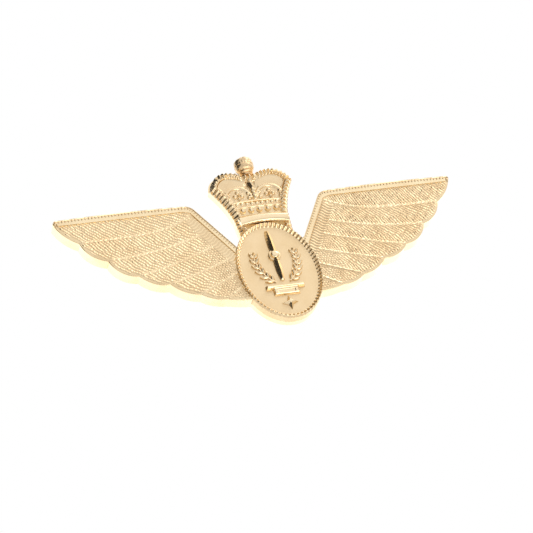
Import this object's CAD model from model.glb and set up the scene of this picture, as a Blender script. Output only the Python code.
import math
from functools import partial

import bmesh
import bpy
import numpy as np
from mathutils import Matrix, Vector


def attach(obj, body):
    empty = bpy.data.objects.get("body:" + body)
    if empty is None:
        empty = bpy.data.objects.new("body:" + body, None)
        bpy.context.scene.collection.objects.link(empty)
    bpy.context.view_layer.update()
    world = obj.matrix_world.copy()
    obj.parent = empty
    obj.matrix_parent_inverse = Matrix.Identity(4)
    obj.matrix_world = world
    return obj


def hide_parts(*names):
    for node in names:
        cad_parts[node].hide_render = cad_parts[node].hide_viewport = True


# Looks of the pilot wings pin. Sizes are in millimetres here and become metres in the meshes.
# A "depth" counts forwards from the flat back face, so a point's Y is minus its depth.
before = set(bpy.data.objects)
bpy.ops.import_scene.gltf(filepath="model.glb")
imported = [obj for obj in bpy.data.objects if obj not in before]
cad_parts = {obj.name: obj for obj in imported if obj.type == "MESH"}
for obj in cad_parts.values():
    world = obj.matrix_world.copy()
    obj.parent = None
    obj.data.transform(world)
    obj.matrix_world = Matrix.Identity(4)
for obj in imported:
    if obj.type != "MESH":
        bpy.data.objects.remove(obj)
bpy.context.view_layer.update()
MM = 0.001

# ---------------------------------------------------------------- outlines
# They follow the CAD model's, and the crown's shoulders and the propeller's blades are a little
# softer. Each corner is across, up, and the radius of the arc to the next corner: 0 is
# straight, and a negative radius is hollow. All run anticlockwise seen from the front.
WING_OUTLINE = [
    (4.0, -5.55, 20.0),
    (10.8, -4.8, 7.4),
    (15.3, -3.1, 7.6),
    (20.2, -0.2, 6.2),
    (25.3, 2.4, 5.4),
    (30.0, 6.5, 5.7),
    (34.2, 11.0, 8.8),
    (37.95, 15.7, 0.5),
    (37.5, 16.3, 295.0),
    (13.7, 16.25, 2.2),
    (11.75, 15.1, 0.0),
    (4.0, 2.1, 0.0),
]
# The wing's upper and inner edges, which carry the border with its short bars.
WING_BORDER = [
    (37.95, 15.9, 0.5), (37.5, 16.3, 295.0), (13.7, 16.25, 2.2), (11.75, 15.1, 0.0), (4.0, 2.1, 0.0),
]
# Lower boundary of each feather, from the top one down: its valley's across and up, then the
# length, rise and bend of the line that runs inwards from there.
FEATHERS = [
    (34.2, 11.0, 19.7, 2.2, 4.5),
    (30.0, 6.5, 18.5, 3.3, 2.0),
    (25.3, 2.4, 11.8, 3.2, 1.3),
    (20.2, -0.2, 9.2, 2.8, 1.15),
    (15.3, -3.1, 5.8, 2.6, 1.0),
    (10.8, -4.8, 2.3, 1.5, 1.0),
]
# The crown sits a little to the right of the medallion's middle, and its foot is hollow, where
# it meets the medallion's ring.
CROWN_SHIFT = 0.3
CROWN_OUTLINE = [
    (-4.48, 8.6, -6.2),
    (5.08, 7.97, 0.0),
    (5.4, 12.8, -22.0),
    (8.2, 19.7, 4.0),
    (5.0, 22.9, 6.5),
    (1.55, 22.1, 0.0),
    (-0.95, 22.1, 6.5),
    (-4.3, 22.9, 4.2),
    (-7.55, 19.6, -22.0),
    (-4.8, 12.8, 0.0),
]
CIRCLET_OUTLINE = [(-4.2, 10.2, -17.2), (4.8, 10.2, 0.0), (5.05, 12.1, 22.8), (-4.45, 12.1, 0.0)]
BLADE_OUTLINE = [
    (0.48, 3.2, 18.0), (0.4, 8.6, 0.45), (-0.4, 8.6, 18.0),
    (-0.48, 3.2, 18.0), (-0.4, -2.2, 0.45), (0.4, -2.2, 18.0),
]
PEDESTAL_OUTLINE = [
    (-2.4, -5.5, 0.0), (2.4, -5.5, 0.0), (2.4, -4.2, 0.0), (3.6, -4.2, 0.0),
    (3.6, -3.35, 0.0), (-3.6, -3.35, 0.0), (-3.6, -4.2, 0.0), (-2.4, -4.2, 0.0),
]
STAR_OUTLINE = [
    (1.55, -7.2, 0.0), (0.48, -6.72, 0.0), (0.0, -5.65, 0.0), (-0.48, -6.72, 0.0),
    (-1.55, -7.2, 0.0), (-0.48, -7.68, 0.0), (0.0, -8.75, 0.0), (0.48, -7.68, 0.0),
]
# The medallion: half its width and height, half the width of its ring, and its field's depth.
OVAL_WIDTH, OVAL_HEIGHT = 7.7, 10.5
RING_HALF = 0.425
FIELD = 2.3
# Depths of the wings' face and of the crown's sunk ground, and the middle of the knob.
WING_FACE = 2.2
CROWN_GROUND = 1.95
KNOB_DEPTH = 1.85


# ---------------------------------------------------------------- small helpers
def ease(value, start, end):
    """A smooth step from 0 at start to 1 at end."""
    t = np.clip((value - start) / (end - start), 0.0, 1.0)
    return t * t * (3.0 - 2.0 * t)


def bulge(offset, half_width):
    """A half-round ridge, 1 on its crest and 0 at its half width."""
    return np.sqrt(np.clip(1.0 - (offset / half_width) ** 2, 0.0, 1.0))


def wave(value, pitch):
    """A cosine wave from 0 to 1 with that pitch."""
    return 0.5 + 0.5 * np.cos(2.0 * math.pi * value / pitch)


def scatter(first, second):
    """A repeatable number from 0 to 1 for each pair of whole numbers."""
    value = np.sin(first * 12.9898 + second * 78.233) * 43758.5453
    return value - np.floor(value)


def trace(corners, closed=True, step=0.25):
    """Points along an outline of straight edges and arcs."""
    points = []
    for i in range(len(corners) if closed else len(corners) - 1):
        start = np.array(corners[i][:2])
        chord = np.array(corners[(i + 1) % len(corners)][:2]) - start
        length, arc = np.linalg.norm(chord), corners[i][2]
        if arc == 0.0:
            count = max(1, math.ceil(length / step))
            points.append(start + np.arange(count)[:, None] / count * chord)
            continue
        left = np.array((-chord[1], chord[0])) / length
        centre = start + chord / 2 + left * math.copysign(math.sqrt(arc ** 2 - length ** 2 / 4), arc)
        first = math.atan2(*(start - centre)[::-1])
        last = math.atan2(*(start + chord - centre)[::-1])
        sweep = (last - first) % (2 * math.pi) if arc > 0 else -((first - last) % (2 * math.pi))
        count = max(2, math.ceil(abs(sweep * arc) / min(step, abs(arc) / 6)))
        angles = first + sweep * np.arange(count) / count
        points.append(centre + abs(arc) * np.stack([np.cos(angles), np.sin(angles)], 1))
    if not closed:
        points.append(np.array([corners[-1][:2]]))
    return np.concatenate(points)


def to_path(places, path, closed=True):
    """Distance to a path, how far along it the nearest point is, and that point.

    For a closed path the distance is positive inside.
    """
    start = path if closed else path[:-1]
    end = np.roll(path, -1, 0) if closed else path[1:]
    run = end - start
    length = np.linalg.norm(run, axis=1)
    before = np.concatenate([[0.0], np.cumsum(length)[:-1]])
    distance, along, nearest = np.empty(len(places)), np.empty(len(places)), np.empty((len(places), 2))
    batch = 8000
    for first in range(0, len(places), batch):
        part = slice(first, first + batch)
        gap = places[part, None, :] - start[None]
        share = np.clip((gap * run).sum(2) / length ** 2, 0.0, 1.0)
        off = gap - share[:, :, None] * run
        square = (off ** 2).sum(2)
        best = square.argmin(1)
        row = np.arange(len(best))
        distance[part] = np.sqrt(square[row, best])
        along[part] = before[best] + share[row, best] * length[best]
        nearest[part] = places[part] - off[row, best]
        if closed:
            # a place is inside if a line from it to the right crosses the path an odd number of times
            across, up = places[part, None, 0], places[part, None, 1]
            spans = (start[None, :, 1] > up) != (end[None, :, 1] > up)
            rise = np.where(run[:, 1] == 0.0, 1.0, run[:, 1])
            crossing = start[None, :, 0] + (up - start[None, :, 1]) / rise * run[None, :, 0]
            inside = (spans & (across < crossing)).sum(1) % 2 == 1
            distance[part] *= np.where(inside, 1.0, -1.0)
    return distance, along, nearest


def add_piece(name, mesh, body, finish, replaced=()):
    """Puts a mesh in the scene on a body, with its material and the CAD nodes it stands for."""
    piece = bpy.data.objects.new(name, mesh)
    bpy.context.collection.objects.link(piece)
    mesh.materials.append(finish)
    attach(piece, body)
    if replaced:
        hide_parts(*replaced)
    return piece


def smooth(mesh, degrees):
    """Smooth shading with edges sharper than that angle kept crisp."""
    mesh.shade_smooth()
    mesh.set_sharp_from_angle(angle=math.radians(degrees))


def mesh_from(name, vertices, faces, hollow=None, sharp=60.0):
    """A mesh from millimetre points (across, depth, up), with its hollows as an attribute."""
    mesh = bpy.data.meshes.new(name)
    points = np.asarray(vertices, float) * MM
    points[:, 1] *= -1.0
    mesh.from_pydata(points.tolist(), [], faces)
    layer = mesh.attributes.new("hollow", "FLOAT", "POINT")
    values = np.zeros(len(points)) if hollow is None else np.asarray(hollow, float)
    layer.data.foreach_set("value", values.astype(np.float32))
    mesh.validate()
    smooth(mesh, sharp)
    return mesh


def faced_outwards(mesh):
    """The same mesh with the normals of its closed shells turned outwards."""
    shell = bmesh.new()
    shell.from_mesh(mesh)
    bmesh.ops.recalc_face_normals(shell, faces=shell.faces)
    shell.to_mesh(mesh)
    shell.free()
    return mesh


def struck(name, outline, spacing, front, back, side=1, keep=None, sharp=60.0):
    """A closed solid whose front is a struck relief, cut to a closed outline.

    front gives each place's depth and hollow from the place, its distance inside the outline
    and how far along the outline it is. back is the depth of the solid's flat rear.
    """
    # a grid of quads over the outline, of which those that touch it or lie inside it are used
    low, high = outline.min(0), outline.max(0)
    across_count, up_count = (np.ceil((high - low) / spacing).astype(int) + 1).tolist()
    across = np.linspace(low[0], high[0], across_count)
    up = np.linspace(low[1], high[1], up_count)
    places = np.stack(np.meshgrid(across, up, indexing="ij"), 2).reshape(-1, 2)
    inside, along, nearest = to_path(places, outline)
    index = np.arange(len(places)).reshape(across_count, up_count)
    quads = np.stack([index[:-1, :-1], index[1:, :-1], index[1:, 1:], index[:-1, 1:]], 2).reshape(-1, 4)
    wanted = inside[quads].mean(1) > 0.0
    if keep is not None:
        wanted &= keep(places[quads].mean(1))
    quads = quads[wanted]

    # edges with one quad only are the rim, which is moved onto the outline
    edges = np.concatenate([quads[:, [i, (i + 1) % 4]] for i in range(4)])
    keys = edges.min(1) * len(places) + edges.max(1)
    order, counts = np.unique(keys, return_counts=True)
    rim_edges = edges[np.isin(keys, order[counts == 1])]
    rim = np.unique(rim_edges)
    snapped = rim[np.abs(inside[rim]) < 1.2 * spacing]
    places[snapped] = nearest[snapped]
    inside[snapped] = 0.0

    # the relief, and walls from its rim to the flat rear
    used = np.unique(quads)
    depth, hollow = front(places[used], inside[used], along[used])
    renumber = np.full(len(places), -1)
    renumber[used] = np.arange(len(used))
    under = np.full(len(places), -1)
    under[rim] = len(used) + np.arange(len(rim))
    top = np.stack([places[used, 0] * side, depth, places[used, 1]], 1)
    bottom = np.stack([places[rim, 0] * side, np.full(len(rim), back), places[rim, 1]], 1)
    a, b = rim_edges.T
    walls = np.stack([renumber[b], renumber[a], under[a], under[b]], 1)
    faces = np.concatenate([renumber[quads], walls])
    if side < 0:
        faces = faces[:, ::-1]
    mesh = mesh_from(name, np.concatenate([top, bottom]), faces.tolist(),
                     np.concatenate([hollow, np.zeros(len(rim))]), sharp)

    # the rear itself
    shell = bmesh.new()
    shell.from_mesh(mesh)
    open_edges = [edge for edge in shell.edges if edge.is_boundary]
    bmesh.ops.triangle_fill(shell, edges=open_edges, normal=(0.0, 1.0, 0.0))
    shell.to_mesh(mesh)
    shell.free()
    return mesh


def turned(name, profile, centre, steps=64, axis="Y", shape=None):
    """A solid of revolution from a profile of (radius, height) about an axis through a centre.

    shape may move each point (across, depth, up) once it is in place.
    """
    angles = np.arange(steps) * 2.0 * math.pi / steps
    vertices, faces = [], []
    for radius, height in profile:
        for angle in angles:
            one, two = radius * math.cos(angle), radius * math.sin(angle)
            point = (one, height, two) if axis == "Y" else (one, -two, height)
            vertices.append(np.array(point) + centre)
    for ring in range(len(profile) - 1):
        for i in range(steps):
            a, b = ring * steps + i, ring * steps + (i + 1) % steps
            faces.append((a, b, b + steps, a + steps))
    faces.append(tuple(range(steps))[::-1])
    faces.append(tuple(range((len(profile) - 1) * steps, len(profile) * steps)))
    vertices = np.array(vertices)
    if shape:
        vertices = shape(vertices)
    return faced_outwards(mesh_from(name, vertices, faces, sharp=40.0))


# ---------------------------------------------------------------- materials
# Sockets of a Mix node that mixes colours.
COLOUR_A, COLOUR_B, COLOUR_RESULT = 6, 7, 2


def metal(name, bright, dull, rough, hollow_tint=0.35, grain=2600.0, grain_height=0.00002,
          patch=260.0, hollow_rough=0.12):
    """A plated metal: two tones in soft patches, fine grain, and dull dirt in its hollows.

    patch and grain are noise scales, and grain_height is the depth of the grain in metres.
    """
    finish = bpy.data.materials.new(name)
    finish.use_nodes = True
    nodes, links = finish.node_tree.nodes, finish.node_tree.links
    shader = nodes["Principled BSDF"]
    shader.inputs["Metallic"].default_value = 1.0
    place = nodes.new("ShaderNodeTexCoord")

    patches = nodes.new("ShaderNodeTexNoise")
    patches.inputs["Scale"].default_value = patch
    patches.inputs["Detail"].default_value = 4.0
    links.new(place.outputs["Object"], patches.inputs["Vector"])
    tones = nodes.new("ShaderNodeMix")
    tones.data_type = "RGBA"
    tones.inputs[COLOUR_A].default_value = (*dull, 1.0)
    tones.inputs[COLOUR_B].default_value = (*bright, 1.0)
    spread = nodes.new("ShaderNodeMapRange")
    spread.inputs["From Min"].default_value = 0.35
    spread.inputs["From Max"].default_value = 0.62
    links.new(patches.outputs["Fac"], spread.inputs["Value"])
    links.new(spread.outputs["Result"], tones.inputs["Factor"])

    hollow = nodes.new("ShaderNodeAttribute")
    hollow.attribute_name = "hollow"
    share = nodes.new("ShaderNodeMath")
    share.operation = "MULTIPLY"
    share.inputs[1].default_value = hollow_tint
    links.new(hollow.outputs["Fac"], share.inputs[0])
    tint = nodes.new("ShaderNodeMix")
    tint.data_type = "RGBA"
    tint.inputs[COLOUR_B].default_value = (dull[0] * 0.42, dull[1] * 0.33, dull[2] * 0.24, 1.0)
    links.new(share.outputs["Value"], tint.inputs["Factor"])
    links.new(tones.outputs[COLOUR_RESULT], tint.inputs[COLOUR_A])
    links.new(tint.outputs[COLOUR_RESULT], shader.inputs["Base Color"])

    fine = nodes.new("ShaderNodeTexNoise")
    fine.inputs["Scale"].default_value = grain
    fine.inputs["Detail"].default_value = 3.0
    links.new(place.outputs["Object"], fine.inputs["Vector"])
    roughness = nodes.new("ShaderNodeMapRange")
    roughness.inputs["To Min"].default_value = rough * 0.7
    roughness.inputs["To Max"].default_value = rough * 1.35
    links.new(fine.outputs["Fac"], roughness.inputs["Value"])
    dirt = nodes.new("ShaderNodeMath")
    dirt.operation = "MULTIPLY_ADD"
    dirt.inputs[1].default_value = hollow_rough
    links.new(hollow.outputs["Fac"], dirt.inputs[0])
    links.new(roughness.outputs["Result"], dirt.inputs[2])
    links.new(dirt.outputs["Value"], shader.inputs["Roughness"])

    bump = nodes.new("ShaderNodeBump")
    bump.inputs["Strength"].default_value = 1.0
    bump.inputs["Distance"].default_value = grain_height
    links.new(fine.outputs["Fac"], bump.inputs["Height"])
    links.new(bump.outputs["Normal"], shader.inputs["Normal"])
    return finish


struck_gold = metal("struck_gold", (0.95, 0.75, 0.475), (0.89, 0.67, 0.40), 0.20, hollow_tint=0.42)
crown_gold = metal("crown_gold", (0.97, 0.775, 0.50), (0.91, 0.69, 0.42), 0.17, hollow_tint=0.36,
                   hollow_rough=0.05)
plain_gold = metal("plain_gold", (0.96, 0.79, 0.52), (0.91, 0.72, 0.45), 0.27, grain_height=0.00001)
satin_gold = metal("satin_gold", (0.87, 0.67, 0.415), (0.83, 0.625, 0.37), 0.36, grain=4200.0,
                   grain_height=0.000012)
bright_gold = metal("bright_gold", (0.99, 0.81, 0.54), (0.95, 0.74, 0.46), 0.15, hollow_tint=0.5,
                    grain=1800.0, grain_height=0.000008)
knob_gold = metal("knob_gold", (0.85, 0.64, 0.39), (0.76, 0.55, 0.31), 0.34, hollow_tint=0.5,
                  grain=1500.0, grain_height=0.00005)
post_brass = metal("post_brass", (0.88, 0.71, 0.40), (0.74, 0.55, 0.27), 0.24, grain_height=0.000006)
clutch_brass = metal("clutch_brass", (0.92, 0.72, 0.38), (0.78, 0.57, 0.26), 0.22, grain=1500.0,
                     grain_height=0.00001, patch=420.0)
spring_steel = metal("spring_steel", (0.62, 0.60, 0.57), (0.42, 0.40, 0.38), 0.3, grain_height=0.000005)


# ---------------------------------------------------------------- the wings
wing_border = trace(WING_BORDER, closed=False)


def feather_lines(across, up, inside, edge):
    """Distances below the feather above and above the feather below, and the feather's order."""
    far = 6.0
    over = np.full(len(across), far)
    under = np.full(len(across), far)
    order = np.zeros(len(across))
    for valley_across, valley_up, length, rise, bend in FEATHERS:
        reach = np.clip(valley_across - across, 0.0, None)
        line = valley_up + rise * (reach / length) ** bend
        lean = 1.0 / np.sqrt(1.0 + (rise * bend / length * (reach / length) ** (bend - 1.0)) ** 2)
        gap = (up - line) * lean
        crossed = (gap < 0.0) & (across < valley_across)
        order += crossed
        over = np.where(crossed, np.minimum(over, -gap), over)
        under = np.where(~crossed & (across < valley_across), np.minimum(under, gap), under)
    under = np.minimum(under, np.where(edge > inside + 0.05, inside, far))
    return over, under, order


def feather_texture(side, across, up, share, order):
    """Rows of short barbs in slanting strips, and a rounder grain towards the root.

    share goes from 0 at a feather's lower edge to 1 at its upper edge. The left wing's barbs
    run together along their strips, and the right wing's across them.
    """
    # the strips change direction along each feather's shaft
    turn = np.where(share < 0.42, math.radians(22.0), math.radians(40.0))
    turn = turn + 0.012 * (across - 22.0)
    drift = 0.06 * np.sin(2.3 * across + 1.7 * up + 2.0 * order) + 0.04 * np.sin(4.9 * up - 3.4 * across)
    strip_width = 0.68 if side < 0 else 0.52
    strip = (up * np.cos(turn) - across * np.sin(turn) + drift) / strip_width
    run = across * np.cos(turn) + up * np.sin(turn) + drift
    row = np.floor(strip)
    part = strip - row
    shift = 0.22 * (row % 2) + 0.16 * scatter(row, order) if side < 0 else 0.04 * scatter(row, order)
    barb_pitch = 0.48
    step = (run + shift) / barb_pitch
    tooth = np.floor(step)
    swell = 0.60 + 0.65 * scatter(tooth, row + 31.0 * order)
    ridge = np.sin(math.pi * part) ** 1.4
    cut = wave(step - tooth - 0.5, 1.0) ** 1.2
    barbs = swell * (ridge * (0.55 + 0.45 * cut) if side < 0 else cut * (0.55 + 0.45 * ridge))

    grain_up = (up + 0.5 * drift) / 0.46
    grain_row = np.floor(grain_up)
    grain_step = (across + drift) / 0.50 + 0.5 * (grain_row % 2)
    grains = wave(grain_step, 1.0) * wave(grain_up - 0.5, 1.0)
    grains = grains * (0.6 + 0.8 * scatter(np.floor(grain_step + 0.5), grain_row))
    root = ease(across, 14.5, 10.5) * 0.8
    return barbs * (1.0 - root) + grains * root


def ribbed_band(side, place):
    """The band beside a wing's inner edge: where it is, its height and its hollow."""
    corner, far_corner = np.array(WING_BORDER[-1][:2]), np.array(WING_BORDER[-2][:2])
    direction = (far_corner - corner) / np.linalg.norm(far_corner - corner)
    from_corner = place - corner
    length_along = from_corner @ direction
    in_from_edge = from_corner @ np.array((direction[1], -direction[0]))
    band = ease(in_from_edge, 3.45, 3.15) * ease(length_along, 15.2, 13.8)
    ribs = wave(length_along + 0.12 * np.sin(3.0 * in_from_edge), 0.62) ** 0.7
    ribs = ribs * ease(in_from_edge, 1.15, 1.35)
    rib_height, rib_shade = (0.16, 0.9) if side > 0 else (0.11, 0.5)
    return band, 0.17 + rib_height * ribs, (1.0 - ribs) * rib_shade


def wing_front(side, place, inside, along):
    """Depth and hollow of a wing's face: border, ribbed band and barbed feathers."""
    across, up = place.T
    edge, edge_along, _ = to_path(place, wing_border, closed=False)
    over, under, order = feather_lines(across, up, inside, edge)
    texture = feather_texture(side, across, up, under / (under + over), order)

    # each feather: a thin sheet with a raised lip along its lower edge, over the next one
    uneven = under + 0.05 * np.sin(5.3 * across + order) + 0.04 * np.sin(11.0 * across)
    shown = ease(uneven, 0.24, 0.40) * ease(over, 0.10, 0.20)
    shingle = 0.12 + 0.08 * np.exp(-under)
    lip_height = 0.125 + 0.035 * np.sin(7.1 * across + 3.0 * order) + 0.02 * np.sin(17.0 * across)
    lip = lip_height * np.clip(1.0 - uneven / 0.34, 0.0, 1.0)
    step_down = 0.16 * np.clip(1.0 - over / 0.15, 0.0, 1.0)
    feather = np.maximum(shingle + lip, 0.12 + step_down) + 0.14 * texture * shown
    hollow = (1.0 - np.clip(texture, 0.0, 1.0)) * shown * 0.85
    if side > 0:
        # dark lines under the right wing's lowest feathers
        hollow = hollow + 1.3 * (order >= 5) * np.exp(-over / 0.12) * ease(across, 16.5, 13.5)

    band, band_height, band_hollow = ribbed_band(side, place)
    feather = feather * (1.0 - band) + band_height * band
    hollow = hollow * (1.0 - band) + band_hollow * band

    # the free rim of each lobe is a plain bevel
    bevel = ease(inside, -0.05, 0.62)
    feather = feather * (0.12 + 0.88 * bevel)
    hollow = hollow * ease(inside, 0.3, 0.7)

    # the border: two fine ridges with short bars between them
    ridges = np.maximum(bulge(edge - 0.13, 0.13), 0.30 * bulge(edge - 0.84, 0.12))
    bars = bulge(edge - 0.48, 0.27) * wave(edge_along, 0.62)
    border = 0.13 + 0.37 * np.maximum(ridges, 0.9 * bars)
    at_border = ease(edge, 1.08, 0.92)
    height = feather * (1.0 - at_border) + border * at_border
    border_hollow = 2.0 * (1.0 - np.clip(np.maximum(ridges, bars), 0.0, 1.0)) * ease(edge, 0.98, 0.88)
    hollow = hollow * (1.0 - at_border) + border_hollow * at_border
    outer = ease(inside, 0.0, 0.08)
    return WING_FACE + 0.03 + height * (0.25 + 0.75 * outer), np.clip(hollow, 0.0, 1.9)


def clear_of_medallion(place):
    """True where the wing's sheet isn't well under the medallion."""
    return (place[:, 0] / (OVAL_WIDTH - 0.25)) ** 2 + (place[:, 1] / (OVAL_HEIGHT - 0.25)) ** 2 > 1.0


wing_outline = trace(WING_OUTLINE)
for wing_name, wing_side in (("left", -1), ("right", 1)):
    wing_mesh = struck("wing_relief_" + wing_name, wing_outline, 0.068, partial(wing_front, wing_side),
                       WING_FACE - 0.1, side=wing_side, keep=clear_of_medallion, sharp=75.0)
    add_piece("wing_relief_" + wing_name, wing_mesh, "badge", struck_gold)


# ---------------------------------------------------------------- the medallion
def reeded_ring():
    """The medallion's ring: a plain rim with a bevel inside it that is cut into round reeds."""
    teeth, per_tooth, across_steps = 72, 12, 14
    turn = np.linspace(0.0, 2.0 * math.pi, 4001)
    mid_width, mid_height = OVAL_WIDTH - RING_HALF, OVAL_HEIGHT - RING_HALF
    step = np.hypot(mid_width * np.sin(turn), mid_height * np.cos(turn))
    length = np.concatenate([[0.0], np.cumsum((step[1:] + step[:-1]) / 2.0 * (turn[1] - turn[0]))])
    total = teeth * per_tooth
    reed = wave(np.arange(total), per_tooth)
    vertices, hollow = [], []
    for k in range(across_steps + 1):
        # t goes from -1 at the inner edge to 1 at the outer edge
        t = 2.0 * k / across_steps - 1.0
        place = (np.arange(total) / total * length[-1] - 0.06 * t) % length[-1]
        angles = np.interp(place, length, turn)
        crest = min(0.82, 0.02 + 0.54 * (t + 1.0)) * (1.0 - max(t, 0.0) ** 4.0) ** 0.55
        cut = 0.40 * float(ease(t, 1.0, 0.30))
        groove = max(crest - cut, min(crest, 0.02))
        reach = RING_HALF * t * (1.0 - 0.05 * (1.0 - reed) * float(ease(t, 0.2, 0.9)))
        normal = np.stack([np.cos(angles) / mid_width, np.sin(angles) / mid_height], 1)
        normal /= np.linalg.norm(normal, axis=1)[:, None]
        depth = FIELD - 0.02 + crest * reed + groove * (1.0 - reed)
        x = mid_width * np.cos(angles) + normal[:, 0] * reach
        z = mid_height * np.sin(angles) + normal[:, 1] * reach
        vertices.append(np.stack([x, depth, z], 1))
        hollow.append((1.0 - reed) * 0.22)
    faces = []
    for k in range(across_steps):
        for i in range(total):
            j = (i + 1) % total
            faces.append((k * total + i, (k + 1) * total + i, (k + 1) * total + j, k * total + j))
    last = across_steps * total
    for i in range(total):
        j = (i + 1) % total
        faces.append((i, j, last + j, last + i))
    mesh = mesh_from("medallion_ring", np.concatenate(vertices), faces, np.concatenate(hollow), 50.0)
    return faced_outwards(mesh)


add_piece("medallion_ring", reeded_ring(), "badge", struck_gold, ["medallion_bezel"])


def ridged(base, height, slope, dirt, dirt_width):
    """The front of a raised shape with sloping sides that meet in a ridge or a flat top."""
    def front(place, inside, along):
        depth = base + np.minimum(height, slope * inside)
        return depth, dirt * ease(inside, dirt_width, 0.0)
    return front


def pedestal_front(place, inside, along):
    """A stepped plinth: a moulded slab over a hollow-sided block with a sunk panel."""
    across, up = place.T
    slab = ease(up, -4.28, -4.12)
    sides = np.minimum(1.0, inside / 0.22)
    block = 0.42 - 0.12 * ease(np.abs(across), 1.7, 1.5) * ease(up, -5.25, -5.1) * ease(up, -4.4, -4.55)
    top = 0.52 + 0.16 * bulge(up + 3.62, 0.24) + 0.10 * bulge(up + 4.02, 0.14)
    height = (block * (1.0 - slab) + top * slab) * sides
    hollow = 0.7 * np.exp(-((up + 4.25) / 0.1) ** 2) + 0.5 * ease(inside, 0.12, 0.0)
    return FIELD + 0.08 + height, np.clip(hollow, 0.0, 1.0)


add_piece("emblem_blades", struck("emblem_blades", trace(BLADE_OUTLINE), 0.05,
                                  ridged(FIELD + 0.10, 0.85, 1.25, 0.4, 0.14), FIELD - 0.1, sharp=35.0),
          "badge", bright_gold, ["emblem_propeller"])
# Half section of the hub: radius, and height over the field.
HUB_PROFILE = [
    (1.15, -0.1), (1.15, 0.26), (1.08, 0.36), (0.95, 0.40), (0.86, 0.34), (0.78, 0.34),
    (0.72, 0.72), (0.58, 0.87), (0.32, 0.94), (0.05, 0.95),
]
hub_centre = np.array((0.0, FIELD, 3.2))
add_piece("emblem_hub", turned("emblem_hub", HUB_PROFILE, hub_centre), "badge", bright_gold)
add_piece("emblem_plinth", struck("emblem_plinth", trace(PEDESTAL_OUTLINE), 0.05, pedestal_front,
                                  FIELD - 0.1, sharp=35.0),
          "badge", bright_gold, ["emblem_pedestal"])
add_piece("emblem_star_cut", struck("emblem_star_cut", trace(STAR_OUTLINE), 0.04,
                                    ridged(FIELD + 0.06, 0.62, 1.5, 0.5, 0.16), FIELD - 0.1, sharp=30.0),
          "badge", bright_gold, ["emblem_star"])


def leaf(centre, heading, length, width, rise, tilt):
    """A pointed leaf with a sunk midrib, as points and faces. It lies on the medallion's field."""
    rows, columns = 9, 7
    points, faces, hollow = [], [], []
    ahead = np.array((math.cos(heading), math.sin(heading)))
    aside = np.array((-ahead[1], ahead[0]))
    for i in range(rows):
        t = i / (rows - 1)
        half = width * (math.sin(math.pi * t ** 0.8) ** 0.8) + 0.01
        for j in range(columns):
            s = 2.0 * j / (columns - 1) - 1.0
            flat = centre + ahead * length * (t - 0.5) + aside * half * s
            arch = rise * (1.0 - s * s) * (0.45 + 0.55 * math.sin(math.pi * t))
            crease = 0.10 * max(0.0, 1.0 - abs(s) * 3.0) * math.sin(math.pi * t)
            lift = tilt * (t - 0.3) * 0.5
            points.append((flat[0], FIELD + 0.10 + arch - crease + max(lift, 0.0), flat[1]))
            hollow.append(0.8 * max(0.0, 1.0 - abs(s) * 3.0) + (0.5 if abs(s) > 0.95 else 0.0))
    count = rows * columns
    for i in range(rows):
        for j in range(columns):
            flat = points[i * columns + j]
            points.append((flat[0], FIELD - 0.08, flat[2]))
            hollow.append(0.0)
    for i in range(rows - 1):
        for j in range(columns - 1):
            a = i * columns + j
            quad = (a, a + columns, a + columns + 1, a + 1)
            faces.append(quad)
            faces.append(tuple(count + v for v in quad[::-1]))
    rim = list(range(columns))
    rim += [i * columns + columns - 1 for i in range(1, rows)]
    rim += [(rows - 1) * columns + j for j in range(columns - 2, -1, -1)]
    rim += [i * columns for i in range(rows - 2, 0, -1)]
    for k, a in enumerate(rim):
        b = rim[(k + 1) % len(rim)]
        faces.append((a, b, count + b, count + a))
    return points, faces, hollow


def laurel(name, side):
    """A laurel sprig: a round stem with pairs of leaves and a bud."""
    start, end, radius = np.array((1.35, -2.6)), np.array((3.75, 4.0)), 6.6
    path = trace([(*start, radius), (*end, 0.0)], closed=False, step=0.1)
    path[:, 0] *= side
    points, faces, hollow = [], [], []

    def add(more):
        """Adds a leaf's points, faces and hollows."""
        base = len(points)
        points.extend(more[0])
        faces.extend(tuple(base + v for v in face) for face in more[1])
        hollow.extend(more[2])

    pairs = 6
    for k in range(pairs):
        at = int((0.06 + 0.84 * k / (pairs - 1)) * (len(path) - 2))
        run = path[at + 1] - path[at]
        heading = math.atan2(run[1], run[0])
        size = 1.62 - 0.05 * k
        for way in (-1, 1):
            spread = heading + way * math.radians(38.0)
            centre = path[at] + 0.50 * size * np.array((math.cos(spread), math.sin(spread)))
            add(leaf(centre, spread, size, 0.36, 0.30, 0.34))
    tip = path[-1] - path[-2]
    heading = math.atan2(tip[1], tip[0])
    add(leaf(path[-1] + 0.15 * tip / np.linalg.norm(tip), heading, 0.8, 0.22, 0.22, 0.1))
    ring = 8
    for i, spot in enumerate(path):
        run = path[min(i + 1, len(path) - 1)] - path[max(i - 1, 0)]
        run = run / np.linalg.norm(run)
        thick = 0.17 - 0.09 * i / len(path)
        for j in range(ring):
            angle = 2.0 * math.pi * j / ring
            aside = np.array((-run[1], run[0])) * thick * math.cos(angle)
            points.append((spot[0] + aside[0], FIELD + 0.12 + thick * math.sin(angle), spot[1] + aside[1]))
            hollow.append(0.0)
    base = len(points) - ring * len(path)
    for i in range(len(path) - 1):
        for j in range(ring):
            a, b = base + i * ring + j, base + i * ring + (j + 1) % ring
            faces.append((a, b, b + ring, a + ring))
    faces.append(tuple(base + j for j in range(ring))[::-1])
    faces.append(tuple(base + (len(path) - 1) * ring + j for j in range(ring)))
    return faced_outwards(mesh_from(name, points, faces, hollow, 50.0))


for sprig_side, sprig_name in ((-1, "left"), (1, "right")):
    add_piece("laurel_leaves_" + sprig_name, laurel("laurel_leaves_" + sprig_name, sprig_side),
              "badge", bright_gold, ["emblem_laurel_" + sprig_name])


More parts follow.
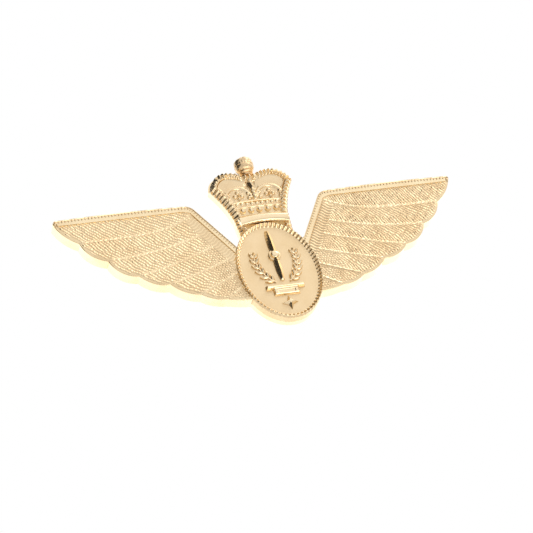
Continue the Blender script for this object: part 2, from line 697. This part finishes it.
# ---------------------------------------------------------------- the crown
def crown_border(across, up, edge, along):
    """Depth and hollow of the crown's border.

    On the left round ribs run across a bevel with a beaded line inside it. Above and on the
    right sharper ribs run across a round moulding.
    """
    tooth = (along / 0.80 + 0.06 * np.sin(3.1 * along)) % 1.0
    round_rib = wave(tooth - 0.65, 1.0)
    bevel = np.minimum(2.84, 1.92 + 1.2 * edge) - 0.42 * (1.0 - round_rib)
    beads = wave(along, 0.5)
    beaded_line = 2.45 + 0.22 * beads * bulge(edge - 1.06, 0.26)
    inner = ease(edge, 0.78, 0.92)
    left = bevel * (1.0 - inner) + beaded_line * inner
    left_hollow = 0.15 * (1.0 - round_rib) * (1.0 - inner) + 0.9 * (1.0 - beads) * inner

    sawn = np.abs((along / 0.84) % 1.0 - 0.5) * 2.0
    rib = np.clip(1.5 * sawn - 0.25, 0.0, 1.0)
    moulding = 1.96 + bulge(edge - 0.58, 0.74) * (0.30 + 0.50 * rib)
    above = np.maximum(ease(up, 21.6, 22.3), ease(across, -2.0, -1.0))
    border = left * (1.0 - above) + moulding * above
    return border, left_hollow * (1.0 - above) + (1.0 - rib) * 0.6 * above


def crown_front(place, inside, along):
    """Depth and hollow of the crown: ribbed border, plain lobes, arches and ground for the rows."""
    across, up = place[:, 0] - CROWN_SHIFT, place[:, 1]
    side = np.abs(across)
    lobe = np.hypot((side - 3.5) / 2.9, (up - 19.9) / 2.0)
    panel = CROWN_GROUND + 0.20 * ease(lobe, 1.0, 0.88)
    hollow = 0.55 + 0.7 * ease(lobe, 0.90, 0.97) * ease(lobe, 1.12, 1.04)

    # dotted ground under the arches
    cell_row = np.floor(up / 0.42)
    ground = wave(across + 0.3 * (cell_row % 2), 0.6) * wave(up, 0.42)
    ground = ground * (0.3 + 0.9 * scatter(np.floor(across / 0.6), cell_row))
    low_zone = ease(np.hypot(side - 3.0, up - 16.95), 2.5, 2.2) * ease(up, 16.1, 16.3)
    low_zone = np.maximum(low_zone, ease(side, 1.4, 1.1) * ease(up, 16.1, 16.3) * ease(up, 21.0, 18.0))
    panel = panel * (1.0 - low_zone) + (1.92 + 0.13 * ground) * low_zone
    hollow = hollow * (1.0 - low_zone) + (1.0 - ground) * 0.7 * low_zone

    def raise_to(shape, height):
        """Raises the panel where the shape is, and keeps it clean there."""
        nonlocal panel, hollow
        panel = np.maximum(panel, CROWN_GROUND + height * shape)
        hollow = np.where(shape > 0.25, hollow * 0.2, hollow)

    # an arch over each half, the middle bar, and small buds under the arches
    reach = np.hypot(side - 3.0, up - 16.95)
    raise_to(bulge(reach - 2.45, 0.34) * ease(up, 16.9, 17.2), 0.32)
    raise_to(bulge(side, 0.46) * ease(up, 16.2, 16.4), 0.50 + 0.22 * wave(up, 0.8))
    buds = ((3.0, 18.25, 0.42), (2.35, 17.45, 0.42), (3.65, 17.45, 0.42), (3.0, 16.85, 0.34))
    for bud_across, bud_up, size in buds:
        raise_to(bulge(np.hypot(side - bud_across, up - bud_up), size), 0.42)
    raise_to(bulge(side - 3.0, 0.12) * ease(up, 16.2, 16.4) * ease(up, 17.8, 17.6), 0.35)
    for bud_up, size in ((16.9, 0.4), (17.9, 0.34)):
        raise_to(bulge(np.hypot(side - 1.05, up - bud_up), size), 0.45)
        raise_to(bulge(np.hypot(side - 5.0, up - bud_up + 0.2), size), 0.45)

    # plain fillets between the rows of pearls and gems
    for line_up in (16.15, 14.82, 12.98):
        raise_to(bulge(up - line_up + 0.012 * across ** 2, 0.20), 0.40)
    rows = ease(up, 16.0, 15.8)
    panel = np.maximum(panel, CROWN_GROUND + 0.15 * rows)

    # the border, with a fine line inside it. At the crown's foot only the sides have a border.
    edge = np.where(up > 12.8, inside, 4.78 + 0.071 * (up - 8.3) - side)
    border, border_hollow = crown_border(across, up, edge, along)
    at_border = ease(edge, 1.28, 1.18)
    raise_to(bulge(edge - 1.42, 0.14) * ease(up, 13.0, 13.2), 0.30)
    depth = panel * (1.0 - at_border) + border * at_border
    hollow = hollow * (1.0 - at_border) + border_hollow * at_border

    # the low foot behind the circlet
    foot = ease(up, 12.7, 12.5) * (1.0 - at_border)
    depth = depth * (1.0 - foot) + 2.05 * foot
    hollow = hollow * (1.0 - foot) + 0.4 * foot

    # a steep facet where the arches meet, which faces left and so looks black from the front
    facet_left = 0.35 * (19.8 - up) - 0.80
    facet = ease(np.hypot((across - facet_left - 0.30) / 0.34, (up - 19.45) / 0.75), 1.0, 0.88)
    slope = 2.16 + 1.2 * np.clip(across - facet_left, 0.0, 0.55)
    depth = depth * (1.0 - facet) + slope * facet
    hollow = hollow * (1.0 - facet) + facet

    # the rim is a little lower
    outer = ease(inside, 0.0, 0.10)
    return depth - 0.12 * (1.0 - outer), hollow


add_piece("crown_relief", struck("crown_relief", trace(CROWN_OUTLINE), 0.06, crown_front, 1.0, sharp=70.0),
          "badge", crown_gold, ["crown_body"])


def circlet_front(place, inside, along):
    """The crown's plain band: a round moulding with a fine step at its edges."""
    across, up = place[:, 0] - CROWN_SHIFT, place[:, 1]
    # its lower and upper edge follow the arcs of the outline
    low_arc, high_arc = 17.2, 22.8
    low = 10.2 + (0.61 - low_arc + np.sqrt(low_arc ** 2 - across ** 2))
    high = 12.1 + (0.50 - high_arc + np.sqrt(high_arc ** 2 - across ** 2))
    share = np.clip((up - low) / (high - low), 0.0, 1.0)
    body = bulge(share - 0.5, 0.44) ** 0.8
    ends = ease(4.72 - np.abs(across), 0.0, 0.12)
    return 2.60 + 0.10 * ends + 0.48 * body * ends, 0.7 * ease(body, 0.25, 0.0)


add_piece("crown_band", struck("crown_band", trace(CIRCLET_OUTLINE), 0.06, circlet_front, 1.95, sharp=50.0),
          "badge", bright_gold, ["crown_circlet"])


def joined(name, meshes, degrees=40.0):
    """Several meshes as one."""
    shell = bmesh.new()
    for mesh in meshes:
        shell.from_mesh(mesh)
    result = bpy.data.meshes.new(name)
    shell.to_mesh(result)
    shell.free()
    smooth(result, degrees)
    return result


def row_of(name, profile, count, pitch, depth, up, steps):
    """Equal turned pieces in a row across the crown."""
    places = [(CROWN_SHIFT + pitch * (i - count // 2), depth, up) for i in range(count)]
    return [turned(name, profile, np.array(place), steps=steps) for place in places]


# Half sections of a gem and of a pearl: radius, and height over the crown's ground.
GEM_PROFILE = [
    (0.64, -0.05), (0.60, 0.24), (0.53, 0.32), (0.47, 0.28),
    (0.46, 0.34), (0.38, 0.56), (0.24, 0.68), (0.05, 0.69),
]
gems = row_of("gem", GEM_PROFILE, 5, 1.6, CROWN_GROUND, 13.9, 8)
add_piece("crown_stones", joined("crown_stones", gems, 20.0), "badge", bright_gold,
          ["crown_gems"])
PEARL_PROFILE = [(0.42 * math.cos(a), 0.42 * math.sin(a)) for a in np.linspace(-0.1, math.radians(88.0), 9)]
pearls = row_of("pearl", PEARL_PROFILE, 9, 0.95, 1.93, 15.5, 20)
add_piece("crown_pearl_row", joined("crown_pearl_row", pearls), "badge", bright_gold,
          ["crown_pearls"])


def knob_shape(points):
    """Cuts shallow lobes round the knob, beads its belt and raises a rib over front and back."""
    across, depth, up = points[:, 0] - CROWN_SHIFT, points[:, 1] - KNOB_DEPTH, points[:, 2]
    reach = np.maximum(np.hypot(across, depth), 0.01)
    bearing = np.arctan2(depth, across)
    belt_low, belt_high, beads_round = 24.04, 24.54, 22.0
    off_belt = np.where((up > belt_low) & (up < belt_high), 0.0, 1.0)
    round_part = ease(up, 23.0, 23.3) * ease(up, 25.68, 25.48) * off_belt
    lobes = 0.07 * np.abs(np.sin(6.0 * bearing + 3.0 * up)) * round_part
    rib = 0.12 * bulge(across, 0.30) * ease(up, 24.6, 24.8) * ease(np.abs(depth), 0.1, 0.4)
    at_belt = (1.0 - round_part) * ease(up, 24.0, 24.05) * ease(up, 24.6, 24.55)
    beads = 0.06 * wave(bearing, 2.0 * math.pi / beads_round) * at_belt
    grow = np.clip((reach - lobes + rib - beads) / reach, 0.0, 1.8 / reach)
    return np.stack([CROWN_SHIFT + across * grow, KNOB_DEPTH + 0.97 * depth * grow, up], 1)


# Half section of the knob: radius, and place up the pin.
KNOB_PROFILE = [
    (0.75, 22.1), (0.78, 22.38), (1.05, 22.46), (1.24, 22.6), (1.2, 22.76), (1.02, 22.86), (1.05, 22.95),
    (1.34, 23.08), (1.60, 23.25), (1.75, 23.5), (1.77, 23.92), (1.74, 24.02), (1.8, 24.08), (1.8, 24.28),
    (1.8, 24.5), (1.74, 24.56), (1.77, 24.66), (1.77, 24.85), (1.75, 25.06), (1.67, 25.27), (1.5, 25.46),
    (1.22, 25.6), (0.85, 25.68), (0.5, 25.71), (0.42, 25.72), (0.44, 25.77), (0.36, 25.81), (0.2, 25.84),
    (0.03, 25.85),
]
knob = turned("crown_knob", KNOB_PROFILE, np.array((CROWN_SHIFT, KNOB_DEPTH, 0.0)), steps=132,
              axis="Z", shape=knob_shape)
add_piece("crown_knob", knob, "badge", knob_gold, ["crown_finial"])


# ---------------------------------------------------------------- CAD nodes that stay
def paint(node, finish):
    """Gives a CAD node's object one of the materials above."""
    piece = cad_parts[node]
    piece.data.materials.clear()
    piece.data.materials.append(finish)


paint("wing_plate", plain_gold)
paint("medallion_plate", satin_gold)
for clutch_side in ("left", "right"):
    paint(clutch_side + "_post", post_brass)
    paint(clutch_side + "_clutch_spring", spring_steel)
    for clutch_part in ("_clutch_disc", "_clutch_case", "_clutch_ear_a", "_clutch_ear_b"):
        paint(clutch_side + clutch_part, clutch_brass)

# ---------------------------------------------------------------- camera
camera_data = bpy.data.cameras.new("camera")
camera_data.lens = 175.6
camera_data.sensor_width = 36.0
camera_data.clip_start = 0.01
camera_data.clip_end = 20.0
camera = bpy.data.objects.new("camera", camera_data)
bpy.context.collection.objects.link(camera)
camera_right = Vector((0.9455, -0.1766, -0.2737)).normalized()
camera_ahead = Vector((0.3037, 0.7816, 0.5449)).normalized()
camera_up = camera_right.cross(camera_ahead)
axes = Matrix((camera_right, camera_up, -camera_ahead)).transposed()
camera.matrix_world = Matrix.Translation(Vector((-143.05, -365.13, -251.82)) * MM) @ axes.to_4x4()
bpy.context.scene.camera = camera

# ---------------------------------------------------------------- floor and light
# The floor is small, so that light from below reaches the plate's edge past it.
FLOOR_HALF, FLOOR_UP = 0.45, -0.42
floor_mesh = bpy.data.meshes.new("floor")
floor_shell = bmesh.new()
bmesh.ops.create_grid(floor_shell, x_segments=2, y_segments=2, size=FLOOR_HALF)
floor_shell.to_mesh(floor_mesh)
floor_shell.free()
floor = bpy.data.objects.new("floor", floor_mesh)
floor.location = (0.0, 0.0, FLOOR_UP)
bpy.context.collection.objects.link(floor)
floor_finish = bpy.data.materials.new("pale_floor")
floor_finish.use_nodes = True
floor_shader = floor_finish.node_tree.nodes["Principled BSDF"]
floor_shader.inputs["Base Color"].default_value = (0.86, 0.85, 0.83, 1.0)
floor_shader.inputs["Roughness"].default_value = 0.9
floor_mesh.materials.append(floor_finish)


def direction_fade(nodes, links, place, direction, start, end):
    """1 near a direction of the sky and 0 away from it. start and end are in degrees."""
    dot = nodes.new("ShaderNodeVectorMath")
    dot.operation = "DOT_PRODUCT"
    dot.inputs[1].default_value = Vector(direction).normalized()
    links.new(place, dot.inputs[0])
    fade = nodes.new("ShaderNodeMapRange")
    fade.interpolation_type = "SMOOTHSTEP"
    fade.inputs["From Min"].default_value = math.cos(math.radians(end))
    fade.inputs["From Max"].default_value = math.cos(math.radians(start))
    links.new(dot.outputs["Value"], fade.inputs["Value"])
    return fade.outputs["Result"]


def mix_value(nodes, links, factor, base, value):
    """Goes from a base value to another where the factor is 1."""
    mix = nodes.new("ShaderNodeMix")
    mix.data_type = "FLOAT"
    links.new(factor, mix.inputs["Factor"])
    if isinstance(base, float):
        mix.inputs["A"].default_value = base
    else:
        links.new(base, mix.inputs["A"])
    mix.inputs["B"].default_value = value
    return mix.outputs["Result"]


world = bpy.data.worlds.new("studio")
bpy.context.scene.world = world
world.use_nodes = True
sky, sky_links = world.node_tree.nodes, world.node_tree.links
sky_place = sky.new("ShaderNodeTexCoord").outputs["Generated"]
# Brightness of the studio by direction. Each part is a direction, the angles from it where its
# brightness starts to fade and has gone, and the brightness. A later part covers earlier ones.
SKY_PARTS = [
    ((0.55, 0.25, 0.80), 15.0, 60.0, 1.35),     # soft box above right
    ((0.30, -0.78, 0.55), 12.0, 45.0, 1.0),     # what the flat front mirrors
    ((-0.10, -0.60, -0.79), 20.0, 50.0, 0.6),   # dimmer below the camera
    ((0.0, 1.0, 0.0), 43.0, 49.0, 1.8),         # a ring of light behind, for the plate's edge
    ((0.0, 1.0, 0.0), 25.0, 34.0, 0.74),        # and its quieter middle
    ((-0.82, -0.15, 0.50), 28.0, 46.0, 0.03),   # dark gaps on the left, for black edges
    ((-0.55, 0.05, 0.83), 14.0, 26.0, 0.04),
    ((-0.92, -0.30, 0.12), 12.0, 26.0, 0.04),
]
STUDIO_LEVEL = 0.86
level = STUDIO_LEVEL
for sky_way, sky_start, sky_end, sky_value in SKY_PARTS:
    sky_share = direction_fade(sky, sky_links, sky_place, sky_way, sky_start, sky_end)
    level = mix_value(sky, sky_links, sky_share, level, sky_value)
lit = sky["Background"]
lit.inputs["Color"].default_value = (1.0, 0.995, 0.985, 1.0)
sky_links.new(level, lit.inputs["Strength"])
seen = sky.new("ShaderNodeBackground")
seen.inputs["Color"].default_value = (1.0, 1.0, 1.0, 1.0)
seen.inputs["Strength"].default_value = 1.0
ray = sky.new("ShaderNodeLightPath")
chooser = sky.new("ShaderNodeMixShader")
sky_links.new(ray.outputs["Is Camera Ray"], chooser.inputs["Fac"])
sky_links.new(lit.outputs["Background"], chooser.inputs[1])
sky_links.new(seen.outputs["Background"], chooser.inputs[2])
sky_links.new(chooser.outputs["Shader"], sky["World Output"].inputs["Surface"])


def area_light(name, place, size, power):
    """A square soft light that faces the pin."""
    lamp = bpy.data.lights.new(name, "AREA")
    lamp.size = size
    lamp.energy = power
    holder = bpy.data.objects.new(name, lamp)
    holder.location = place
    holder.rotation_euler = (-Vector(place)).to_track_quat("-Z", "Y").to_euler()
    bpy.context.collection.objects.link(holder)


# The key light is above right, and the other is a soft one below the pin.
area_light("key_light", (0.72, -0.42, 0.84), 0.6, 1.9)
area_light("table_light", (0.115, -0.118, -0.343), 0.30, 0.42)

bpy.context.scene.view_settings.view_transform = "Standard"
